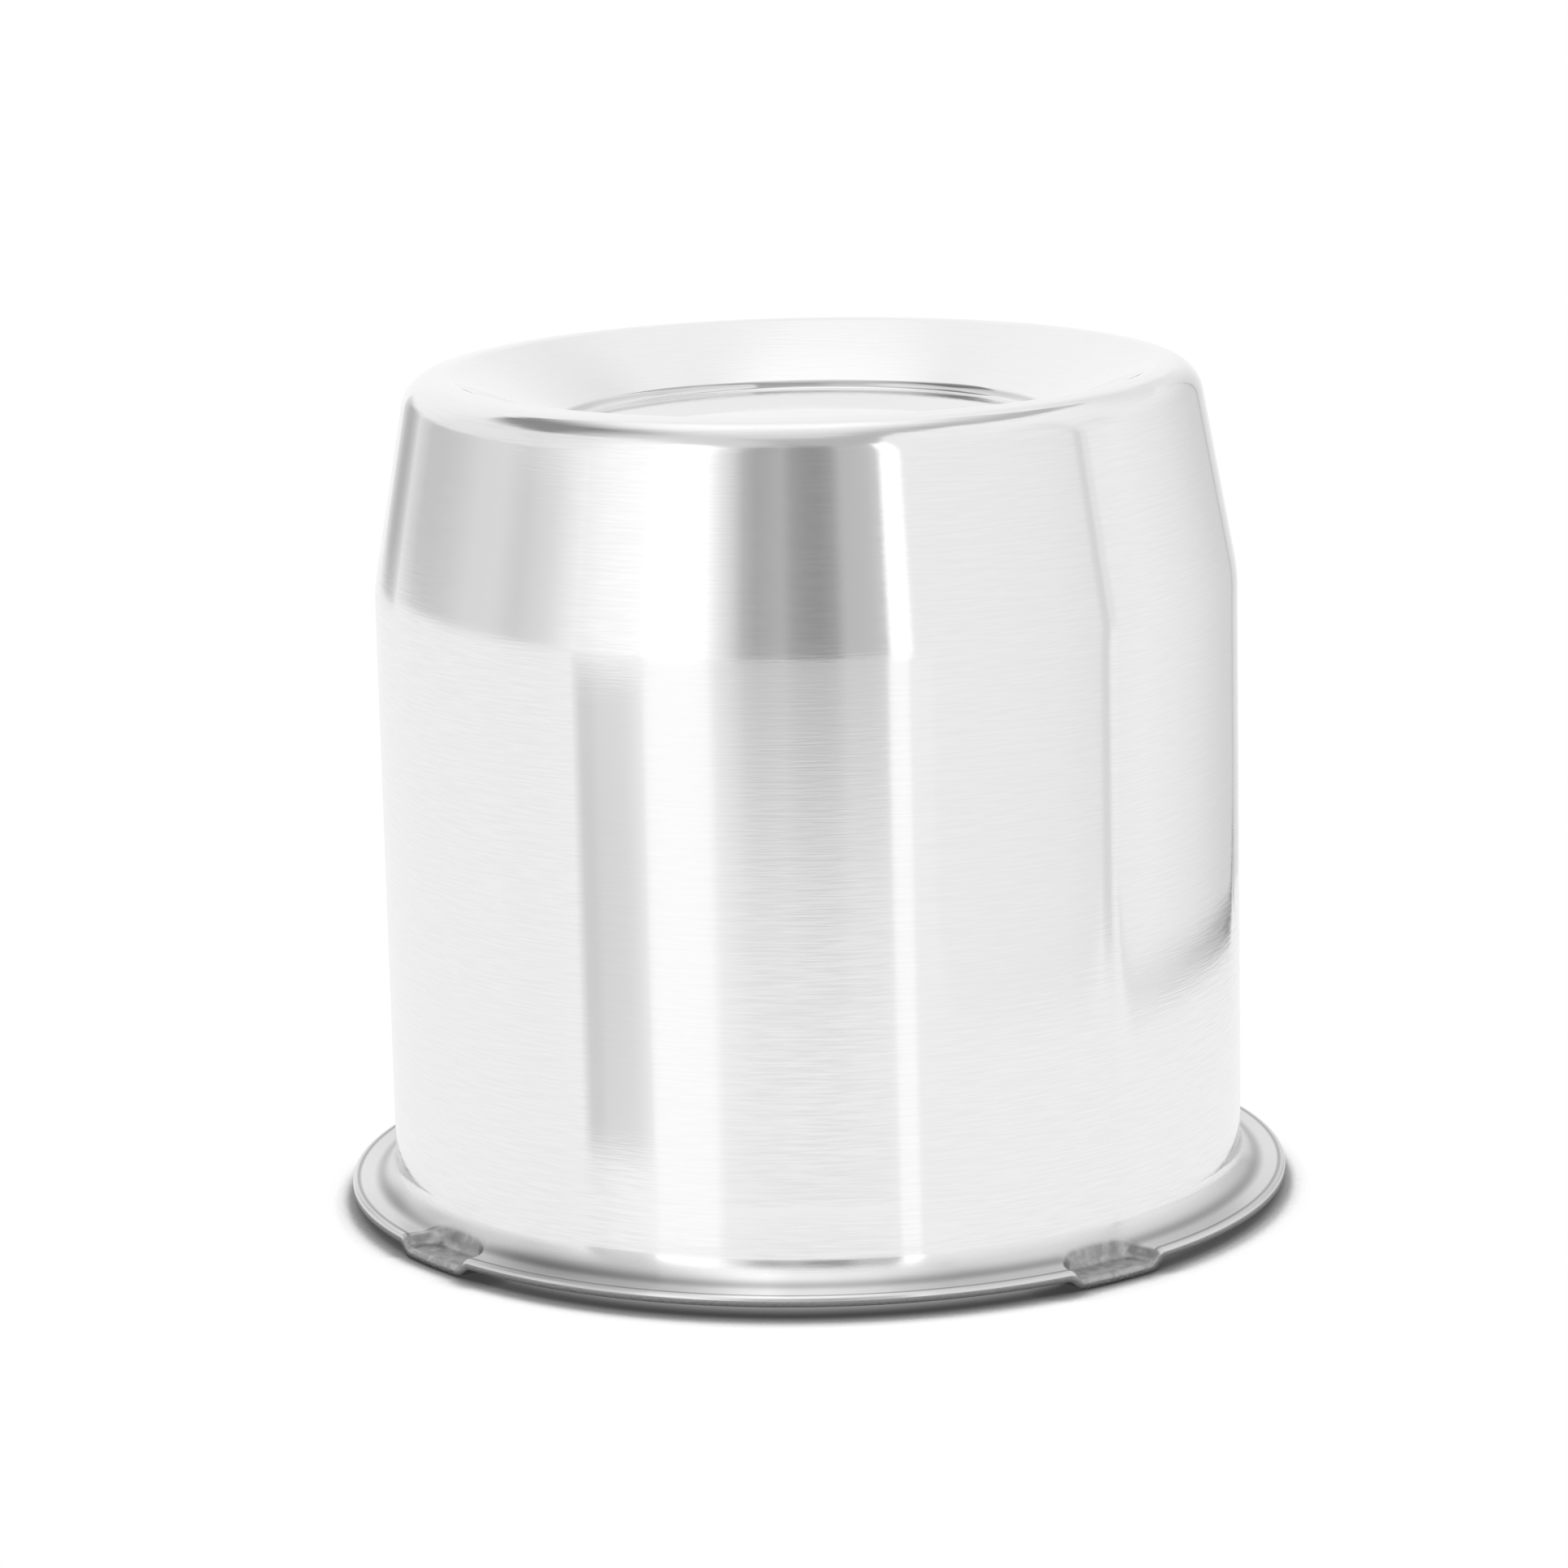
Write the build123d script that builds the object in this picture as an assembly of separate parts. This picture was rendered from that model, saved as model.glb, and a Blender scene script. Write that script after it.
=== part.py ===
from build123d import *
import math
import os

# A push-through hub cap: one drawn sheet shell, standing on its open, flanged end, millimetres.
# The origin is on the axis, on the plane that the four pressed nubs stand on, and +Z is up to the closed face.

# driving dimensions: the sheet and the overall form
sheet = 1.2
total_height = 104.8
barrel_diameter = 107.7
flange_width = 5.65

# the tapered shoulder, the rounded lip, and the border that rises from the lip to the crest of the closed face
taper_height = 26.5
taper_run = 4.78
shoulder_radius = 22.0
lip_radius = 4.4
border_angle = 7.5
border_width = 4.47
crest_radius = 2.5

# the dish inside the crest: a cone down to a small step, and a crowned disc inside it
disc_diameter = 60.6
disc_drop = 7.4
step_height = 1.0
step_run = 0.5
step_radius = 0.45
crown_height = 1.6

# the turned-out flange
flange_bend_radius = 3.3
rim_rounding = 0.5

# the nubs, pressed down through the flange by a round-cornered punch
nub_count = 4
nub_depth = 1.35
nub_floor_width = 10.8
nub_side_angle = 45.0
nub_end_gap = 1.15
nub_end_angle = 10.0
nub_corner_radius = 2.5
nub_corner_growth = 0.8
nub_bend_radius = 0.9
first_nub_angle = -53.0

# sizes that follow from them
barrel_radius = barrel_diameter / 2
flange_radius = barrel_radius + flange_width
flange_top = nub_depth + sheet
shoulder_height = total_height - taper_height
taper_angle = math.atan2(taper_run, taper_height)
crest_centre_radius = barrel_radius - taper_run - border_width
crest_centre_height = total_height - crest_radius
disc_radius = disc_diameter / 2
disc_edge_height = total_height - disc_drop

# how far the working volumes run past the sheet, so that their ends never show
clear_margin = 10.0
clear_radius = flange_radius + clear_margin


def dish_angle():
    """Slope of the cone that leaves the crest as a tangent and ends at the top of the step."""
    across = crest_centre_radius - (disc_radius + step_run)
    below = disc_edge_height + step_height - crest_centre_height
    reach = math.hypot(across, below)
    return math.atan2(across, below) - math.acos(crest_radius / reach)


def crest_point(slope):
    """The point of the crest's arc where the face rises outward at a slope."""
    return (
        crest_centre_radius - crest_radius * math.sin(slope),
        crest_centre_height + crest_radius * math.cos(slope),
    )


def crossing(point, angle, other_point, other_angle):
    """Where two lines cross, each given by a point on it and its angle above the outward direction."""
    across = other_point[0] - point[0]
    above = other_point[1] - point[1]
    turn = math.sin(other_angle - angle)
    length = (across * math.sin(other_angle) - above * math.cos(other_angle)) / turn
    return point[0] + length * math.cos(angle), point[1] + length * math.sin(angle)


def face_corners():
    """The sharp corners that the lip and the crest round off: taper to border, and border to dish."""
    border = -math.radians(border_angle)
    dish = dish_angle()
    lip = crossing((barrel_radius, shoulder_height), math.pi / 2 + taper_angle, crest_point(border), border)
    crest = crossing(crest_point(border), border, crest_point(dish), dish)
    return [lip, crest]


def half_section(rim_points, rim_radii, skin, bottom):
    """The region under the outside of the shell, lowered by a skin, from the axis to the given rim."""
    corners = rim_points + [
        (barrel_radius, flange_top),
        (barrel_radius, shoulder_height),
        *face_corners(),
        (disc_radius + step_run, disc_edge_height + step_height),
        (disc_radius, disc_edge_height),
    ]
    radii = rim_radii + [flange_bend_radius, shoulder_radius, lip_radius, crest_radius, step_radius]
    bends = FilletPolyline(*corners, radius=radii)
    # the crown runs past the axis, and is trimmed there after the skin is taken off
    crown = ThreePointArc(
        (disc_radius, disc_edge_height),
        (0, disc_edge_height + crown_height),
        (-disc_radius, disc_edge_height),
    )
    outside = Wire(bends.edges() + crown.edges())
    if skin:
        outside = outside.offset_2d(skin, side=Side.LEFT, closed=False)
    rim_end = outside @ 0
    far_end = outside @ 1
    closing = Polyline(far_end, (far_end.X, bottom), (rim_end.X, bottom), rim_end)
    region = make_face(outside.edges() + closing.edges())
    span = 2 * (total_height + 2 * clear_margin)
    return region & Pos(clear_radius / 2, 0) * Rectangle(clear_radius, span)


def solid_form():
    """The outside of the shell as a solid, trimmed at the rim, with the rim's upper edge rolled over."""
    rim = [(flange_radius, 0), (flange_radius, flange_top)]
    return revolve(Plane.XZ * half_section(rim, [rim_rounding], 0, -clear_margin), Axis.Z)


def space_inside():
    """All that lies inside the shell and under its flange, a sheet's thickness below the outside."""
    rim = [(clear_radius, flange_top)]
    return revolve(Plane.XZ * half_section(rim, [], sheet, -2 * clear_margin), Axis.Z)


def punch(skin):
    """The space that the punch leaves, grown by a skin, with its floor lowered by as much."""
    side = math.radians(nub_side_angle)
    end = math.radians(nub_end_angle)
    floor = sheet - skin
    top = flange_top + flange_bend_radius + nub_end_gap
    plans = []
    for height in (floor, top):
        rise = height - sheet
        half_width = nub_floor_width / 2 + rise * math.tan(side) + skin / math.cos(side)
        inner_end = barrel_radius + nub_end_gap - rise * math.tan(end) - skin / math.cos(end)
        corner = nub_corner_radius + rise * nub_corner_growth + skin
        outline = FilletPolyline(
            (clear_radius, half_width),
            (inner_end, half_width),
            (inner_end, -half_width),
            (clear_radius, -half_width),
            radius=corner,
        )
        mouth = Line((clear_radius, -half_width), (clear_radius, half_width))
        plans.append(Plane.XY.offset(height) * make_face(outline.edges() + mouth.edges()))
    body = loft(plans, ruled=True)
    floor_edges = body.faces().sort_by(Axis.Z)[0].edges().filter_by(lambda edge: edge.center().X < flange_radius)
    return fillet(floor_edges, nub_bend_radius + skin)


def round_the_axis(tool):
    """One copy of a tool at each nub."""
    return [Rot(0, 0, first_nub_angle + index * 360 / nub_count) * tool for index in range(nub_count)]


def cap_shell():
    """The drawn shell with its nubs, where the sheet wraps round the punch at its full thickness."""
    outside = solid_form() - round_the_axis(punch(0))
    inside = space_inside() - round_the_axis(punch(sheet))
    return outside - inside


os.makedirs("parts", exist_ok=True)
export_step(cap_shell(), "parts/cap_shell.step")
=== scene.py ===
import math

import bpy
import numpy as np
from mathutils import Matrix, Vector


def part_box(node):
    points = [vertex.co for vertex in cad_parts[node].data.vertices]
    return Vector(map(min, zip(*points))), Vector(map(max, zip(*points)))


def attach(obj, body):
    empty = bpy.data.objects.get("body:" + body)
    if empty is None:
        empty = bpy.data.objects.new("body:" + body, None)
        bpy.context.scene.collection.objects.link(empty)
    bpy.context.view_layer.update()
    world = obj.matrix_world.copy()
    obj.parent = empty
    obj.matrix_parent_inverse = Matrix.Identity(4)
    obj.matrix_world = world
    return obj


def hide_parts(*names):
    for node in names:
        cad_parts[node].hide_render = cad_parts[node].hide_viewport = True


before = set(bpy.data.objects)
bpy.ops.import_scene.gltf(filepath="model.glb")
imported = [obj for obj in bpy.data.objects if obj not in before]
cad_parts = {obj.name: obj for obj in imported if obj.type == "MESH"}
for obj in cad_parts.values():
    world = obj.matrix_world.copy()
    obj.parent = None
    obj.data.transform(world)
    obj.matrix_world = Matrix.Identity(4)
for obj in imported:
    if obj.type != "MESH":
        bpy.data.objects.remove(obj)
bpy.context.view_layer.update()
capLow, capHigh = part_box("cap_shell")
mm = 0.001
print("frame loaded, the cap is", round((capHigh.x - capLow.x) / mm, 2), "mm across")

# the cap: one drawn sheet, standing on its open end; millimetres and degrees
cap = {
    "sheet": 1.2,
    "height": capHigh.z / mm,
    "flangeRadius": capHigh.x / mm,
    "barrelRadius": 53.85,
    "taperHeight": 26.5,
    "taperRun": 4.78,
    "shoulderRadius": 22.0,
    "lipRadius": 4.4,
    "borderAngle": 7.5,                 # the ring between the lip and the crest falls outwards by this
    "crestRadius": 44.6,                # from the axis to the middle of the crest's bend
    "crestBend": 2.5,
    "discRadius": 30.3,
    "discDrop": 7.4,
    "stepHeight": 1.0,
    "stepRun": 0.5,
    "stepTopRadius": 1.35,
    "stepFootRadius": 0.6,
    "insideStepRadius": 0.2,            # the top of the step, seen from inside
    "crownHeight": 1.6,
    "crownInset": 1.5,                  # the step's foot ends in the crown this far inside the disc's edge
    "bendRadius": 3.3,
    "rimRounding": 0.5,
}

# the four nubs pressed down through the flange
nub = {
    "count": 4,
    "firstAngle": -53.0,
    "depth": 1.35,
    "floorWidth": 10.8,
    "sideAngle": 45.0,
    "endGap": 1.15,                     # from the barrel to the end of the nub's floor
    "endAngle": 10.0,
    "cornerRadius": 2.5,
    "cornerGrowth": 0.8,                # mm more of corner radius for each mm up
    "floorBend": 0.9,
    "edgeRounding": 0.5,                # how far from its mouth the sheet starts to turn into the nub
}

# how finely the surface is cut: rows along the section, columns round the axis
grid = {
    "nubReach": 11.0,                   # degrees either side of a nub that get close columns
    "nubColumns": 44,
    "plainColumns": 28,
    "outsideArcRows": (8, 28, 14, 6, 6),    # shoulder, lip, crest, top of the step and its foot
    "insideArcRows": (8, 14, 14, 6, 6),
    "straightLength": 8.0,              # mm from row to row where the section is straight
    "crownRows": 16,
    "bendRows": 30,
    "underBendRows": 20,                # the same bend inside, which hardly shows
    "flangeRows": 10,
    "rimRows": 6,
    "edgeRows": 4,
    "halvings": 30,                     # how often the search for the punch's wall halves its step
    "sharpFrom": 50,                    # degrees: where two faces meet at more, the edge stays sharp
}


def unitVector(vector):
    return vector / np.linalg.norm(vector)


def meetingPoint(pointA, alongA, pointB, alongB):
    # where two straight lines cross: solves pointA + a * alongA = pointB + b * alongB
    lengths = np.linalg.solve(np.column_stack([alongA, -alongB]), pointB - pointA)
    return pointA + lengths[0] * alongA


def roundedLine(corners, radii, arcRows):
    # every inner corner becomes an arc that touches both its runs, and the runs are cut into equal lengths
    pieces = [corners[0][None]]
    for index, (radius, rows) in enumerate(zip(radii, arcRows), start=1):
        corner = corners[index]
        toBefore = unitVector(corners[index - 1] - corner)
        toAfter = unitVector(corners[index + 1] - corner)
        halfOpening = math.acos(toBefore @ toAfter) / 2
        start = corner + toBefore * radius / math.tan(halfOpening)
        end = corner + toAfter * radius / math.tan(halfOpening)
        centre = corner + unitVector(toBefore + toAfter) * radius / math.sin(halfOpening)
        pieces.append(straightRun(pieces[-1][-1], start))
        turn = math.pi - 2 * halfOpening
        share = np.linspace(0, 1, rows + 1)[1:, None]
        spokes = np.sin((1 - share) * turn) * (start - centre) + np.sin(share * turn) * (end - centre)
        pieces.append(centre + spokes / math.sin(turn))
    pieces.append(straightRun(pieces[-1][-1], corners[-1]))
    return np.concatenate(pieces)


def straightRun(start, end):
    # equal steps from start to end, without the start itself
    rows = max(1, round(float(np.linalg.norm(end - start)) / grid["straightLength"]))
    share = np.linspace(0, 1, rows + 1)[1:, None]
    return start + (end - start) * share


def sideways(corners, distance):
    # the same line moved to its left by a distance: each run is moved, and neighbours meet again
    along = [unitVector(b - a) for a, b in zip(corners, corners[1:])]
    moved = [corner + distance * np.array([-run[1], run[0]]) for corner, run in zip(corners, along)]
    met = [meetingPoint(moved[i], along[i], moved[i + 1], along[i + 1]) for i in range(len(along) - 1)]
    last = corners[-1] + distance * np.array([-along[-1][1], along[-1][0]])
    return [moved[0], *met, last]


def bodyLine(skin):
    # the section from the top of the flange's bend up to the middle of the face, moved inwards by a skin
    taper = math.atan2(cap["taperRun"], cap["taperHeight"])
    border = math.radians(cap["borderAngle"])
    bend = cap["crestBend"]
    crestCentre = np.array([cap["crestRadius"], cap["height"] - bend])
    discEdge = np.array([cap["discRadius"], cap["height"] - cap["discDrop"]])
    stepTop = discEdge + [cap["stepRun"], cap["stepHeight"]]
    # the dish is a tangent from the top of the step to the crest's circle, and the border touches it outside
    across, below = crestCentre[0] - stepTop[0], stepTop[1] - crestCentre[1]
    dish = math.atan2(across, below) - math.acos(bend / math.hypot(across, below))
    borderStart = crestCentre + bend * np.array([math.sin(border), math.cos(border)])
    alongBorder = np.array([math.cos(border), -math.sin(border)])
    alongTaper = np.array([-math.sin(taper), math.cos(taper)])
    alongDish = np.array([math.cos(dish), math.sin(dish)])
    shoulder = np.array([cap["barrelRadius"], cap["height"] - cap["taperHeight"]])
    lipCorner = meetingPoint(shoulder, alongTaper, borderStart, alongBorder)
    crestCorner = meetingPoint(stepTop, alongDish, borderStart, alongBorder)
    crownRadius = (cap["discRadius"] ** 2 + cap["crownHeight"] ** 2) / (2 * cap["crownHeight"])
    crownCentre = discEdge[1] + cap["crownHeight"] - crownRadius
    inner = cap["discRadius"] - cap["crownInset"]
    crownStart = np.array([inner, crownCentre + math.sqrt(crownRadius**2 - inner**2)])
    bendTop = np.array([cap["barrelRadius"], nub["depth"] + cap["sheet"] + cap["bendRadius"]])
    corners = [bendTop, shoulder, lipCorner, crestCorner, stepTop, discEdge, crownStart]
    radii = [cap["shoulderRadius"], cap["lipRadius"], bend, cap["stepTopRadius"], cap["stepFootRadius"]]
    if skin:
        corners = sideways(corners, skin)
        # bends that bulge outwards get tighter inside the sheet, and the hollow one at the step's foot wider
        radii = [*(radius - skin for radius in radii[:3]), cap["insideStepRadius"], radii[4] + skin]
    line = roundedLine(corners, radii, grid["insideArcRows" if skin else "outsideArcRows"])
    # the crown is an arc about a centre far below, from the end of the step's foot to the axis
    start = math.atan2(line[-1][0], line[-1][1] - crownCentre)
    lean = np.linspace(start, 0, grid["crownRows"] + 1)[1:]
    reach = crownRadius - skin
    crown = np.column_stack([reach * np.sin(lean), crownCentre + reach * np.cos(lean)])
    return np.concatenate([line, crown])


def columnAngles():
    # angles round the axis for one quarter after another: close together across a nub, wider apart after it
    quarter = 360 / nub["count"]
    reach = grid["nubReach"]
    across = np.linspace(-reach, reach, grid["nubColumns"], endpoint=False)
    between = np.linspace(reach, quarter - reach, grid["plainColumns"], endpoint=False)
    one = np.concatenate([across, between])
    every = [nub["firstAngle"] + quarter * index + one for index in range(nub["count"])]
    return np.radians(np.concatenate(every))


def outsidePunch(x, y, z, skin):
    # how far outside the nub's punch a point is, less than zero inside it; x runs out from the axis along
    # the nub; the punch is a round-cornered plan that widens upwards, closed below by a floor, with the
    # floor's edge rounded
    rise = z - cap["sheet"]
    slope = math.radians(nub["sideAngle"])
    lean = math.radians(nub["endAngle"])
    halfWidth = nub["floorWidth"] / 2 + rise * math.tan(slope) + skin / math.cos(slope)
    innerEnd = cap["barrelRadius"] + nub["endGap"] - rise * math.tan(lean) - skin / math.cos(lean)
    corner = nub["cornerRadius"] + rise * nub["cornerGrowth"] + skin
    overEnd = innerEnd + corner - x
    overSide = np.abs(y) - (halfWidth - corner)
    pastEnd, pastSide = np.maximum(overEnd, 0), np.maximum(overSide, 0)
    past = np.hypot(pastEnd, pastSide)
    plan = past + np.minimum(np.maximum(overEnd, overSide), 0) - corner
    # how fast the wall runs outwards as it rises: the end's lean, the sides' slope, and in between at corners
    safePast = np.maximum(past, 1e-9)
    endShare = np.where(past > 0, pastEnd / safePast, overEnd > overSide)
    sideShare = np.where(past > 0, pastSide / safePast, overEnd <= overSide)
    growth = nub["cornerGrowth"]
    spread = growth - endShare * (growth - math.tan(lean)) - sideShare * (growth - math.tan(slope))
    tilt = spread / np.hypot(1, spread)
    # the bend runs round the line where the wall and the floor meet when both are moved in by its radius
    bend = nub["floorBend"] + skin
    wall = plan / np.hypot(1, spread) + bend
    floor = cap["sheet"] - skin - z + bend
    ball = np.sqrt(np.maximum(wall**2 + floor**2 - 2 * tilt * wall * floor, 0) / (1 - tilt**2))
    return np.where(wall < tilt * floor, floor, np.where(floor < tilt * wall, wall, ball)) - bend


def flangeSide(radii, leans, angles, skin):
    # the flange seen from points level with the top of its bend: each ray starts at its own radius and leans
    # down by its own angle, and stops at the flange or, where the punch went deeper, at the punch's far side
    quarter = 2 * math.pi / nub["count"]
    fromNub = np.mod(angles - math.radians(nub["firstAngle"]) + quarter / 2, quarter) - quarter / 2
    level = nub["depth"] + cap["sheet"] + cap["bendRadius"]
    rayOut, rayDown = np.cos(leans)[:, None], np.sin(leans)[:, None]
    plain = cap["bendRadius"] + skin
    near = np.zeros((len(radii), len(angles)))
    far = np.full(near.shape, 3 * plain)
    for _ in range(grid["halvings"]):
        middle = (near + far) / 2
        radius = radii[:, None] + middle * rayOut
        x, y = radius * np.cos(fromNub), radius * np.sin(fromNub)
        inside = outsidePunch(x, y, level - middle * rayDown, skin) < 0
        near, far = np.where(inside, middle, near), np.where(inside, far, middle)
    # the two distances run into each other over a short way, so the nub's mouth is rounded
    rounding = nub["edgeRounding"]
    gap = np.maximum(rounding - np.abs(near - plain), 0)
    length = np.maximum(near, plain) + gap**2 / (4 * rounding)
    return radii[:, None] + length * rayOut, level - length * rayDown, length - plain


def flangeRows(angles):
    # rows from the top of the bend, out over the flange, round the rim, back under it and up inside the bend
    flangeTop = nub["depth"] + cap["sheet"]
    bendCentre = cap["barrelRadius"] + cap["bendRadius"]
    rimStart = cap["flangeRadius"] - cap["rimRounding"]
    bendLeans = np.linspace(math.pi, math.pi / 2, grid["bendRows"] + 1)
    flatRadii = np.linspace(bendCentre, rimStart, grid["flangeRows"] + 1)[1:]
    radii = np.concatenate([np.full(len(bendLeans), bendCentre), flatRadii])
    leans = np.concatenate([bendLeans, np.full(len(flatRadii), math.pi / 2)])
    topRadius, topHeight, topPressed = flangeSide(radii, leans, angles, 0)
    underRadii = np.linspace(bendCentre, cap["flangeRadius"], grid["flangeRows"] + 1)[1:]
    underLeans = np.linspace(math.pi, math.pi / 2, grid["underBendRows"] + 1)
    radii = np.concatenate([np.full(len(underLeans), bendCentre), underRadii])
    leans = np.concatenate([underLeans, np.full(len(underRadii), math.pi / 2)])
    underRadius, underHeight, underPressed = flangeSide(radii, leans, angles, cap["sheet"])
    # the rim's rolled edge and cut face go down with the nub
    turn = np.linspace(0, math.pi / 2, grid["rimRows"] + 1)[1:, None]
    flat = np.ones((1, len(angles)))
    rimRadius = (rimStart + cap["rimRounding"] * np.sin(turn)) * flat
    rimHeight = topHeight[-1] - cap["rimRounding"] * (1 - np.cos(turn))
    share = np.linspace(0, 1, grid["edgeRows"] + 1)[1:-1, None]
    edgeRadius = cap["flangeRadius"] * np.ones((len(share), len(angles)))
    edgeHeight = rimHeight[-1] + (underHeight[-1] - rimHeight[-1]) * share
    radius = np.concatenate([topRadius, rimRadius, edgeRadius, underRadius[::-1]])
    height = np.concatenate([topHeight, rimHeight, edgeHeight, underHeight[::-1]])
    edgePressed = np.repeat(topPressed[-1:], len(rimRadius) + len(edgeRadius), axis=0)
    pressed = np.concatenate([topPressed, edgePressed, underPressed[::-1]])
    # 0 over the top and the rim, rising down the cut face to 1 under it: the torn zone, and with it the
    # painted shade at the cut face's bottom
    tornAndShaded = np.concatenate([0 * topHeight, 0 * rimHeight, share * flat, 0 * underHeight + 1])
    zones = [0] * (len(topRadius) + len(rimRadius) - 1) + [1] * (len(edgeRadius) + 1) + [2] * len(underRadius)
    return radius, height, pressed, tornAndShaded, zones


def gridFaces(index):
    # four-cornered faces between neighbouring rows of a closed ring of columns
    after = np.roll(index, -1, axis=1)
    corners = [index[:-1], index[1:], after[1:], after[:-1]]
    return np.stack(corners, axis=-1).reshape(-1, 4)


def capMesh():
    # the section is carried round the axis: the body's outside, the flange with twice the columns, the inside
    coarse = columnAngles()
    fine = np.empty(2 * len(coarse))
    fine[0::2] = coarse
    fine[1::2] = coarse + (np.roll(np.unwrap(coarse), -1) - coarse) % (2 * math.pi) / 2
    outside, inside = bodyLine(0)[::-1], bodyLine(cap["sheet"])
    flangeRadius, flangeHeight, flangePressed, flangeTornAndShaded, flangeZones = flangeRows(fine)

    blocks = []
    for line in (outside[1:-1], inside[1:-1]):
        ring = np.empty((len(line), len(coarse), 3))
        ring[..., 0] = line[:, :1] * np.cos(coarse)
        ring[..., 1] = line[:, :1] * np.sin(coarse)
        ring[..., 2] = line[:, 1:]
        blocks.append(ring)
    flange = np.stack([flangeRadius * np.cos(fine), flangeRadius * np.sin(fine), flangeHeight], axis=-1)
    poles = np.array([[0, 0, outside[0][1]], [0, 0, inside[-1][1]]])
    points = np.concatenate([part.reshape(-1, 3) for part in (blocks[0], flange, blocks[1], poles)]) * mm

    counts = [blocks[0].shape[:2], flange.shape[:2], blocks[1].shape[:2]]
    starts = np.cumsum([0] + [rows * columns for rows, columns in counts])
    index = [start + np.arange(shape[0] * shape[1]).reshape(shape) for start, shape in zip(starts, counts)]
    outerPole, innerPole = starts[-1], starts[-1] + 1

    top, foot = index[0][0], index[0][-1]
    last, first = index[2][-1], index[2][0]
    ring, under = index[1][0], index[1][-1]
    joints = [
        np.stack([np.full(len(top), outerPole), top, np.roll(top, -1)], axis=-1),
        np.stack([foot, ring[0::2], ring[1::2], np.roll(ring, -2)[0::2], np.roll(foot, -1)], axis=-1),
        np.stack([under[0::2], first, np.roll(first, -1), np.roll(under, -2)[0::2], under[1::2]], axis=-1),
        np.stack([last, np.full(len(last), innerPole), np.roll(last, -1)], axis=-1),
    ]
    sheets = [gridFaces(block) for block in index]
    order = [joints[0], sheets[0], joints[1], sheets[1], joints[2], sheets[2], joints[3]]
    flangeFaces = np.repeat(flangeZones[: counts[1][0] - 1], counts[1][1])
    slots = np.concatenate([
        np.zeros(len(joints[0]) + len(sheets[0]) + len(joints[1]), int),
        flangeFaces,
        np.full(len(joints[2]) + len(sheets[2]) + len(joints[3]), 2),
    ])

    # how far along the section each point lies, so that a finish can follow the sheet
    runs = []
    reached = 0.0
    beside = len(fine) // 8             # a column that runs beside a nub
    flangeLine = np.column_stack([flangeRadius[:, beside], flangeHeight[:, beside]])
    for line, columns in ((outside[1:], len(coarse)), (flangeLine, len(fine)), (inside[:-1], len(coarse))):
        steps = np.concatenate([[0], np.cumsum(np.linalg.norm(np.diff(line, axis=0), axis=1))])
        runs.append(np.repeat(reached + steps, columns))
        reached += steps[-1]
    # the body's two lines share their lowest points with the flange's
    runs[0], runs[2] = runs[0][: -len(coarse)], runs[2][len(coarse):]
    run = np.concatenate([*runs, [0.0, reached]]) * mm
    pressed, tornAndShaded = np.zeros(len(points)), np.zeros(len(points))
    pressed[starts[1]: starts[2]] = np.clip(flangePressed / nub["depth"], 0, 1).ravel()
    tornAndShaded[starts[1]: starts[2]] = flangeTornAndShaded.ravel()

    mesh = bpy.data.meshes.new("capSheet")
    mesh.from_pydata(points.tolist(), [], [face for group in order for face in group.tolist()])
    mesh.polygons.foreach_set("material_index", slots.astype(np.int32))
    for name, values in (("sectionRun", run), ("pressed", pressed), ("tornAndShaded", tornAndShaded)):
        mesh.attributes.new(name, "FLOAT", "POINT").data.foreach_set("value", values.astype(np.float32))
    mesh.shade_smooth()
    mesh.set_sharp_from_angle(angle=math.radians(grid["sharpFrom"]))
    return mesh


def linearColour(hexColour):
    # sRGB hex to the linear values that the shader wants
    parts = [int(hexColour[i: i + 2], 16) / 255 for i in (0, 2, 4)]
    return (*[p / 12.92 if p <= 0.04045 else ((p + 0.055) / 1.055) ** 2.4 for p in parts], 1)


def addNode(tree, kind, inputs=(), **settings):
    # adds a node, sets its properties, and fills its sockets with numbers or with other nodes' outputs
    node = tree.nodes.new(kind)
    for name, value in settings.items():
        setattr(node, name, value)
    for socket, value in dict(inputs).items():
        if isinstance(value, bpy.types.NodeSocket):
            tree.links.new(value, node.inputs[socket])
        else:
            node.inputs[socket].default_value = value
    return node


def newMaterial(name):
    material = bpy.data.materials.new(name)
    material.use_nodes = True
    material.node_tree.nodes.clear()
    return material, material.node_tree


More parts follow.
